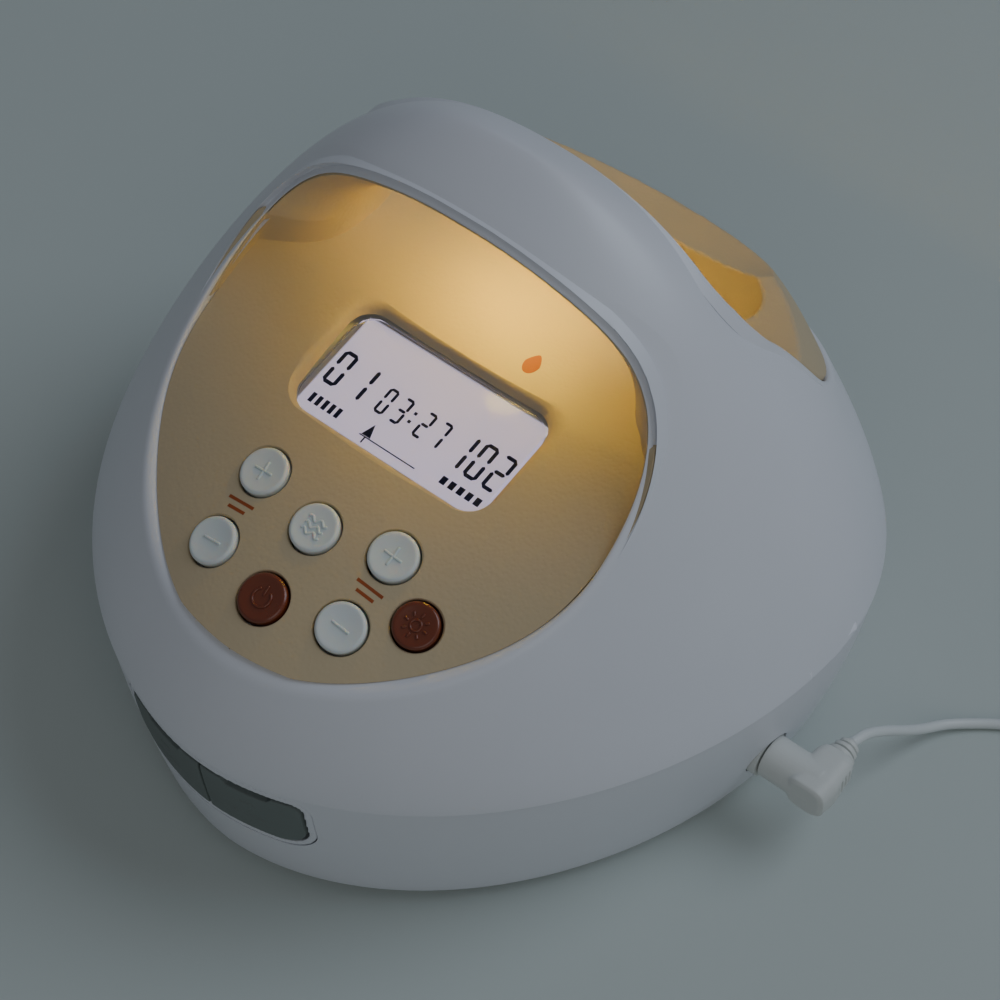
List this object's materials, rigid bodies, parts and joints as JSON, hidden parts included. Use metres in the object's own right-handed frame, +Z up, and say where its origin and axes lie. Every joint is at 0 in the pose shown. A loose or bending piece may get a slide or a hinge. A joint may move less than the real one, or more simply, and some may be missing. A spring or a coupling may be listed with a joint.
{
  "type": "breast_pump",
  "caption": "Mains-powered double electric breast pump: white domed housing with a carrying arch, sand control panel with display and keys, rubber-capped suction ports and a low-voltage lead",
  "frame": {"origin": "centre of the housing's footprint on the table", "axes": "+Z up, the control panel and suction ports face -Y, the power jack faces +X"},
  "size_m": [0.3067, 0.2747, 0.1515],
  "materials": {
    "shell_white": "satin",
    "sand_leathered": "matte",
    "window_clear": "gloss",
    "lcd_glass": "gloss",
    "inner_plastic": "satin",
    "key_white": "satin",
    "key_amber": "gloss",
    "black_plastic": "matte",
    "circuit_board": "satin",
    "lens_frosted": "satin",
    "cable_grey": "matte",
    "cap_rubber": "matte",
    "plated_steel": "satin",
    "black_rubber": "matte",
    "valve_blue": "satin",
    "hose_silicone": "satin",
    "plug_grey": "satin",
    "lead_white": "satin",
    "adapter_white": "satin"
  },
  "bodies": {
    "housing": {"upper_shell": "shell_white", "base_shell": "shell_white", "port_bezel": "shell_white", "control_fascia": "sand_leathered", "rear_recess": "sand_leathered", "handle_liner": "sand_leathered", "lcd_window": "window_clear", "lcd_panel": "lcd_glass", "lcd_holder": "inner_plastic", "key_switches": "black_plastic", "control_board": "circuit_board", "night_light_lens": "lens_frosted", "night_light_board": "circuit_board", "main_board": "circuit_board", "ribbon_cable": "cable_grey", "suction_port_left": "inner_plastic", "suction_port_right": "inner_plastic", "motor": "plated_steel", "motor_clamp": "inner_plastic", "pump_body": "inner_plastic", "pump_head": "inner_plastic", "release_valve": "valve_blue", "air_splitter": "inner_plastic", "air_hoses": "hose_silicone", "dc_jack": "plug_grey", "dc_plug": "plug_grey", "plug_relief": "plug_grey", "lead_tube": "lead_white", "lead_coil": "lead_white", "lead_tail": "lead_white", "lead_tie": "black_plastic", "wall_adapter": "adapter_white", "adapter_prongs": "plated_steel", "rubber_feet": "black_rubber", "base_screws": "plated_steel", "board_screws": "plated_steel", "handle_screws": "plated_steel"},
    "cycle_up_key": {"cycle_up_key": "key_white"},
    "cycle_down_key": {"cycle_down_key": "key_white"},
    "vacuum_up_key": {"vacuum_up_key": "key_white"},
    "vacuum_down_key": {"vacuum_down_key": "key_white"},
    "mode_key": {"mode_key": "key_white"},
    "power_key": {"power_key": "key_amber"},
    "light_key": {"light_key": "key_amber"},
    "port_cap_left": {"port_cap_left": "cap_rubber"},
    "port_cap_right": {"port_cap_right": "cap_rubber"},
    "drive_eccentric": {"drive_eccentric": "inner_plastic"},
    "pump_rod": {"pump_rod": "inner_plastic", "diaphragm": "black_rubber"},
    "valve_plunger": {"valve_plunger": "plated_steel"}
  },
  "joints": [
    {"name": "cycle_up_press", "type": "slide", "parent": "housing", "child": "cycle_up_key", "axis": [0, 0.4003, -0.9164], "range_m": [0, 0.0008], "stiffness_N_per_m": 400},
    {"name": "cycle_down_press", "type": "slide", "parent": "housing", "child": "cycle_down_key", "axis": [0, 0.4003, -0.9164], "range_m": [0, 0.0008], "stiffness_N_per_m": 400},
    {"name": "vacuum_up_press", "type": "slide", "parent": "housing", "child": "vacuum_up_key", "axis": [0, 0.4003, -0.9164], "range_m": [0, 0.0008], "stiffness_N_per_m": 400},
    {"name": "vacuum_down_press", "type": "slide", "parent": "housing", "child": "vacuum_down_key", "axis": [0, 0.4003, -0.9164], "range_m": [0, 0.0008], "stiffness_N_per_m": 400},
    {"name": "mode_press", "type": "slide", "parent": "housing", "child": "mode_key", "axis": [0, 0.4003, -0.9164], "range_m": [0, 0.0008], "stiffness_N_per_m": 400},
    {"name": "power_press", "type": "slide", "parent": "housing", "child": "power_key", "axis": [0, 0.4003, -0.9164], "range_m": [0, 0.0008], "stiffness_N_per_m": 400},
    {"name": "light_press", "type": "slide", "parent": "housing", "child": "light_key", "axis": [0, 0.4003, -0.9164], "range_m": [0, 0.0008], "stiffness_N_per_m": 400},
    {"name": "port_cap_left_hinge", "type": "hinge", "parent": "housing", "child": "port_cap_left", "pos_m": [-0.0125, -0.0881, 0.0249], "axis": [0.9873, -0.159, 0], "range_deg": [0, 100]},
    {"name": "port_cap_right_hinge", "type": "hinge", "parent": "housing", "child": "port_cap_right", "pos_m": [0.0125, -0.0881, 0.0249], "axis": [0.9873, 0.159, 0], "range_deg": [0, 100]},
    {"name": "motor_turn", "type": "hinge", "parent": "housing", "child": "drive_eccentric", "pos_m": [-0.028, 0.01, 0.026], "axis": [0, 1, 0], "continuous": true},
    {"name": "pump_stroke", "type": "slide", "parent": "housing", "child": "pump_rod", "axis": [1, 0, 0], "range_m": [-0.0015, 0.0015], "stiffness_N_per_m": 300},
    {"name": "valve_stroke", "type": "slide", "parent": "housing", "child": "valve_plunger", "axis": [0, 0, -1], "range_m": [0, 0.002], "stiffness_N_per_m": 300}
  ]
}
